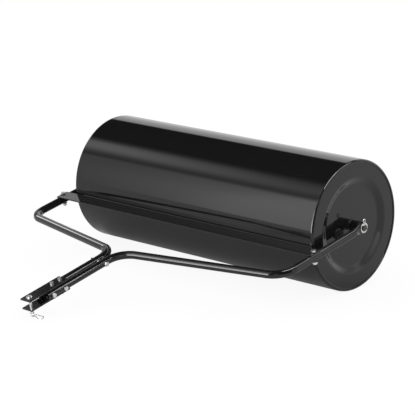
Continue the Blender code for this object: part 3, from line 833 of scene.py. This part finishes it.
def bolt_body(name, size, grip):
    """A bolt with its head above Z = 0 and its threaded shank below."""
    head = hexagon(name, size["flats"], 0.0, size["head"], 0.0, size["flats"] * corner_cut)
    end = -(grip + size["nut"] + 2 * fit + size["spare"])
    core = size["radius"] - size["pitch"] * thread_depth
    profile = [(end, core - thread_taper)]
    height = end + size["pitch"] / 2
    while height < -grip - thread_stop:
        profile += [(height, size["radius"]), (height + size["pitch"] / 2, core)]
        height += size["pitch"]
    profile += [(height, size["radius"]), (shank_sunk, size["radius"])]
    return joined(head, turned("shank", (0, 0, 0), (0, 0, 1), profile, sides=24, caps=True))


def nut_body(name, size):
    cut = size["flats"] * corner_cut
    obj = hexagon(name, size["flats"], -size["nut"], 0.0, cut, cut)
    drilled(obj, (0, 0, -size["nut"] / 2), (0, 0, 1), size["radius"] + thread_play,
            depth=size["nut"] * 2, sides=24)
    return obj


def washer_body(name, size):
    bore = size["radius"] + fit
    obj = turned(name, (0, 0, 0), (0, 0, 1),
                 [(0.0, bore), (size["washer"], bore), (size["washer"], size["washer_radius"]),
                  (0.0, size["washer_radius"])], sides=40, closed=True)
    ease_edges(obj, width=0.0003)
    return obj


def set_in_place(pattern, name, matrix, node, material, slot):
    """A copy of the pattern with its own mesh, put in its place."""
    obj = pattern.copy()
    obj.data = pattern.data.copy()
    obj.name = name
    scene.collection.objects.link(obj)
    obj.matrix_world = matrix
    finish_piece(obj, material, slot, "tow_frame", node)


def fasten(prefix, size, places, above, below, washer_metal=zinc, washer_slot="zinc"):
    """Bolt, nut and two washers at each place, with the head on the side that Z points to."""
    top = above + size["washer"] + 2 * fit
    bottom = below - size["washer"] - 2 * fit
    patterns = (("bolt", bolt_body("bolt_pattern", size, top - bottom), top),
                ("nut", nut_body("nut_pattern", size), bottom),
                ("washer_upper", washer_body("washer_pattern", size), above + fit),
                ("washer_lower", washer_body("washer_pattern", size), below - fit - size["washer"]))
    for kind, pattern, height in patterns:
        for i, place in enumerate(places, 1):
            spin = Matrix.Rotation(math.radians(turn_step * i + first_turn), 4, "Z")
            spot = place @ Matrix.Translation((0, 0, height)) @ spin
            metal, slot = (washer_metal, washer_slot) if "washer" in kind else (zinc, "zinc")
            set_in_place(pattern, f"{prefix}_{kind}_piece_{i}", spot, f"{prefix}_{kind}_{i}", metal, slot)
        bpy.data.objects.remove(pattern, do_unlink=True)


def square_to(point, way_up):
    """A place with Z along the bolt and X to the right, or forwards for a bolt along X."""
    way_up = Vector(way_up)
    first = right if abs(way_up.x) < 0.5 else tongue_forward
    second = way_up.cross(first)
    return Matrix.Translation(point) @ Matrix((first, second, way_up)).transposed().to_4x4()


m8 = {"radius": 0.004, "flats": 0.013, "head": 0.0053, "nut": 0.0068, "washer_radius": 0.008,
      "washer": 0.0016, "spare": 0.002, "pitch": 0.00125}
m6 = {"radius": 0.003, "flats": 0.010, "head": 0.004, "nut": 0.006, "washer_radius": 0.006,
      "washer": 0.0014, "spare": 0.003, "pitch": 0.001}
plate_thickness = 0.005
plate_outer = tube_radius + fit + plate_thickness
fasten("scraper", m8, [square_to(on_arm(bar_middle) + right * side * arm_x, arm_up) for side in (1, -1)],
       bar_plane + bar_thickness, -tube_radius, dark_steel, "dark_steel")
tongue_side = neck.x + tube_radius
fasten("tongue", m8, [square_to(on_tongue(station), right) for station in tongue_bolts],
       tongue_side, -tongue_side, dark_steel, "dark_steel")
fasten("hitch_plate", m6, [square_to(on_tongue(station), tongue_up) for station in plate_bolts],
       plate_outer, -plate_outer)

spacer_half = neck.x - tube_radius - fit
spacer_bore = 0.0043
spacer_radius = 0.0065
for i, station in enumerate(tongue_bolts, 1):
    spacer = turned(f"tongue_zinc_spacer_{i}", on_tongue(station), right,
                    [(-spacer_half, spacer_bore), (spacer_half, spacer_bore), (spacer_half, spacer_radius),
                     (-spacer_half, spacer_radius)], sides=40, closed=True)
    ease_edges(spacer, width=0.0003)
    finish_piece(spacer, zinc, "zinc", "tow_frame", f"tongue_spacer_{i}")


# Hitch plates
# Two lengths of flat bar bolted over and under the tongue tubes, drilled for the pin.
# The tractor's drawbar goes between them.

plate_width = 0.040
plate_length = 0.155
pin_from_nose = 0.0175
pin_hole = 0.0053
plate_middle = plate_length / 2 - pin_from_nose        # behind the pin
plate_height = plate_outer - plate_thickness / 2
plate_bolt_hole = 0.0034
for word, height in (("upper", plate_height), ("lower", -plate_height)):
    plate = flat_bar("hitch_flat_plate_" + word, on_tongue(plate_middle, height), right, tongue_up,
                     (plate_width, plate_length, plate_thickness))
    drilled(plate, on_tongue(0.0, height), tongue_up, pin_hole, depth=0.02, sides=48)
    for station in plate_bolts:
        drilled(plate, on_tongue(station, height), tongue_up, plate_bolt_hole, depth=0.02)
    finish_piece(plate, frame_paint, "frame_paint", "tow_frame", "hitch_plate_" + word)


# Hitch pin and its clip
# A headed pin, turned and zinc plated, drops through both plates and is kept in by a spring clip.
# The clip's straight leg passes through a cross hole near the pin's tip.

pin_radius = 0.005
pin_chamfer = 0.001
pin_below_plate = 0.027
pin_tip = plate_outer + pin_below_plate
pin_cross_hole = 0.009        # from its tip
pin_seat = plate_outer + fit
pin_head_height = 0.003
pin_head_top = pin_seat + pin_head_height
pin_head_radius = 0.0092
pin_head_round = ((0.001, pin_head_radius), (0.0003, 0.0086), (0.0, 0.0072))        # below its top, radius
pin_wire = 0.00125
pin = turned("hitch_zinc_pin", pin_middle, tongue_up,
             [(-pin_tip, pin_radius - pin_chamfer), (-pin_tip + pin_chamfer, pin_radius),
              (pin_seat, pin_radius), (pin_seat, pin_head_radius)]
             + [(pin_head_top - below, radius) for below, radius in pin_head_round],
             sides=48, caps=True)
clip_place = on_tongue(0.0, pin_cross_hole - pin_tip)
drilled(pin, clip_place, right, pin_wire + fit, depth=0.03, sides=16)
finish_piece(pin, zinc, "zinc", "hitch_pin", "hitch_pin")
clip = spring_clip("hitch_spring_clip", clip_place, right, tongue_forward, pin_radius, pin_wire,
                   tip=0.013, loop_place=0.0415, loop=0.0082)
finish_piece(clip, zinc, "zinc", "hitch_clip", "hitch_clip", smooth=60.0)


# Studio
# A pale floor in a white tent. The gloss black steel mirrors what stands round it: a pale wall, softboxes
# and strips in front, on the left and overhead, and a black card; nothing else sees these. A second black
# sheet, against the right arm and also seen only in mirrors, paints a dark reflection into the drum's right
# end.

floor_level = -0.0004
bpy.ops.object.select_all(action="DESELECT")
bpy.ops.mesh.primitive_plane_add(size=80.0, location=(0, 0, floor_level))
floor = bpy.context.object
floor.name = "studio_floor"
floor_material = bpy.data.materials.new("studio_floor")
floor_material.use_nodes = True
tree = floor_material.node_tree
tree.nodes.remove(tree.nodes["Principled BSDF"])
wire = Wire(tree)
paper = wire.add("BsdfDiffuse", None, {"Color": grey(0.90)})
seen = wire.add("LightPath", output="Is Camera Ray")
white = wire.add("Emission", None, {"Color": grey(1.0), "Strength": seen * 0.69 + 0.33})
lit = wire.add("MixShader", None, {0: seen * 0.60 + 0.30, 1: paper, 2: white})
link(lit, tree.nodes["Material Output"].inputs["Surface"])
floor.data.materials.append(floor_material)


def reflector(name, middle, size, facing, glow, tilt=0.0):
    """A glowing panel that only mirrors see; glow gives its brightness from X, Y and Z."""
    bpy.ops.object.select_all(action="DESELECT")
    turn = Vector(facing).to_track_quat("Z", "Y") @ Quaternion((0, 0, 1), tilt)
    bpy.ops.mesh.primitive_plane_add(size=1.0, location=middle, rotation=turn.to_euler())
    panel = bpy.context.object
    panel.name = name
    panel.scale = (size[0], size[1], 1.0)
    bpy.ops.object.transform_apply(location=True, rotation=True, scale=True)
    material = bpy.data.materials.new(name)
    material.use_nodes = True
    tree = material.node_tree
    tree.nodes.remove(tree.nodes["Principled BSDF"])
    wire = Wire(tree)
    x, y, z = wire.add("TexCoord", output="Object").split()
    light = wire.add("Emission", None, {"Color": grey(1.0), "Strength": glow(x, y, z)})
    link(light, tree.nodes["Material Output"].inputs["Surface"])
    panel.data.materials.append(material)
    panel.visible_camera = False
    panel.visible_diffuse = False
    panel.visible_shadow = False
    panel.visible_transmission = False


def softbox_glow(x, y, z):
    """A white face, brighter to the right and fading at its foot and head, with a lamp low on the right."""
    face = x.curve((-4.5, 0.30), (-2.27, 0.75), (-2.05, 0.86), (-1.75, 1.08), (-1.48, 1.36),
                   (-1.19, 1.93), (-0.8, 2.1), (0.7, 1.4))
    fade = z.curve((0.0, 0.85), (0.5, 0.95), (0.9, 1.0), (1.76, 1.0), (2.05, 0.40), (2.15, 0.30))
    lamp = (x.curve((-0.45, 0.0), (-0.25, 8.0), (0.7, 8.0))
            * z.curve((0.0, 1.0), (0.50, 1.0), (0.65, 0.6), (1.0, 0.5), (1.2, 0.0)))
    return face * fade + lamp


def ceiling_glow(x, y, z):
    """A soft band along the drum, brighter to the left, and a faint fill in front of it."""
    strip = y.curve((-1.50, 0.0), (-1.23, 0.35), (-0.97, 0.78), (-0.80, 0.95), (-0.61, 1.0),
                    (-0.45, 0.90), (-0.27, 0.32), (-0.05, 0.0))
    fill = y.curve((-2.6, 0.40), (-1.10, 0.40), (-0.80, 0.20), (-0.50, 0.0))
    return strip * x.curve((-4.5, 1.4), (-2.5, 1.30), (-1.98, 0.85), (-1.39, 0.50), (0.5, 0.20)) + fill


def past_drum_glow(x, y, z):
    """Bright past what the drum mirrors at its left end, but for a spot that the hitch plates mirror."""
    edge_slope, edge_y, drop_squared = 0.865, 0.29, 4.02
    spot_x, spot_y = -2.99, 1.62
    past = 0.0 - x - edge_slope * ((y - edge_y) ** 2.0 + drop_squared) ** 0.5
    from_spot = ((x - spot_x) ** 2.0 + (y - spot_y) ** 2.0) ** 0.5
    return past.curve((0.86, 0.0), (0.94, 1.0)) * from_spot.curve((0.26, 0.0), (0.32, 1.0))


def overhead_glow(x, y, z):
    """A thin line along the tongue's tubes, and a fainter one with a soft flank along the right arm."""
    line = x.curve((0.70, 1.0), (0.74, 0.0)) * y.curve((0.30, 12.0), (0.38, 3.0))
    return line + y.curve((0.30, 0.0), (0.38, 1.1))


def no_glow(x, y, z):
    """A black card."""
    return 0.0


reflector("softbox", middle=(-1.9, -1.463, 1.075), size=(5.2, 2.15), facing=(0, 1, 0),
          glow=softbox_glow)
reflector("soft_strip", middle=(-2.0, -1.325, 2.40), size=(5.0, 2.55), facing=(0, 0, -1),
          glow=ceiling_glow)
reflector("left_panel", middle=(-4.0, 1.95, 2.40), size=(3.4, 1.5), facing=(0, 0, -1),
          glow=past_drum_glow)
reflector("overhead_strip", middle=(0.78, 0.34, 0.81), size=(0.44, 0.75), facing=(0, 0, -1),
          glow=overhead_glow)
# Painted dark reflection: this black sheet hugs the right arm's inner side. Only mirrors see it, and it
# darkens the drum's right end plate beside the arm.
reflector("under_arm_painted_dark_reflection", middle=on_arm(0.113, -0.0075) + right * 0.512, size=(0.258, 0.025),
          facing=(-1, 0, 0), glow=no_glow, tilt=-arm_slope)
reflector("black_card", middle=(1.05, -0.25, 0.40), size=(0.72, 0.6), facing=(-1, 0, 0), glow=no_glow)

# Lamps far off that the rims and tubes mirror: the way to each, its half width in degrees, how soft
# its edge is and its brightness.
far_lamps = (((-0.90, 0.07, 0.44), 7.5, 0.005, 7.5),
             ((-0.97, -0.22, 0.12), 16.0, 0.02, 0.65))

world = bpy.data.worlds.new("studio")
scene.world = world
world.use_nodes = True
world.cycles.sampling_method = "NONE"
tree = world.node_tree
wire = Wire(tree)
way_out = wire.add("TexCoord")
x, y, z = way_out.split()
level = (y * y + x.math("MAXIMUM", x, 0.0) ** 2.0) ** 0.5
bearing = x.math("ARCTAN2", x, y) * (180 / math.pi)
behind = bearing.curve((-100.0, 0.0), (-90.0, 1.0), (-80.0, 1.0), (-74.0, 0.35), (-53.0, 0.35),
                       (-50.0, 1.0), (20.0, 1.0), (31.0, 0.65), (40.0, 0.80), (46.0, 1.10),
                       (50.0, 1.05), (56.0, 0.60), (67.0, 0.82), (82.0, 1.34), (95.0, 1.5),
                       (125.0, 1.2), (160.0, 0.0))
height = z.math("ARCTAN2", z, level) * (180 / math.pi)
wall = height.curve((0.0, 1.0), (36.5, 1.0), (39.5, 0.0), (90.0, 0.0)) * behind
for toward, spread, blur, glow in far_lamps:
    nearness = wire.add("VectorMath", {"operation": "DOT_PRODUCT"},
                        {0: way_out, 1: Vector(toward).normalized()})
    rim = math.cos(math.radians(spread))
    wall = wall + nearness.curve((-1.0, 0.0), (rim - blur, 0.0), (rim + blur, glow), (1.0, glow))
tent = wire.add("LightPath", output="Is Glossy Ray").blend(grey(1.0), wall)
shown = wire.add("LightPath", output="Is Camera Ray").blend(tent, grey(1.0))
background = tree.nodes["Background"]
link(shown, background.inputs["Color"])
background.inputs["Strength"].default_value = 1.0

scene.view_settings.view_transform = "Standard"
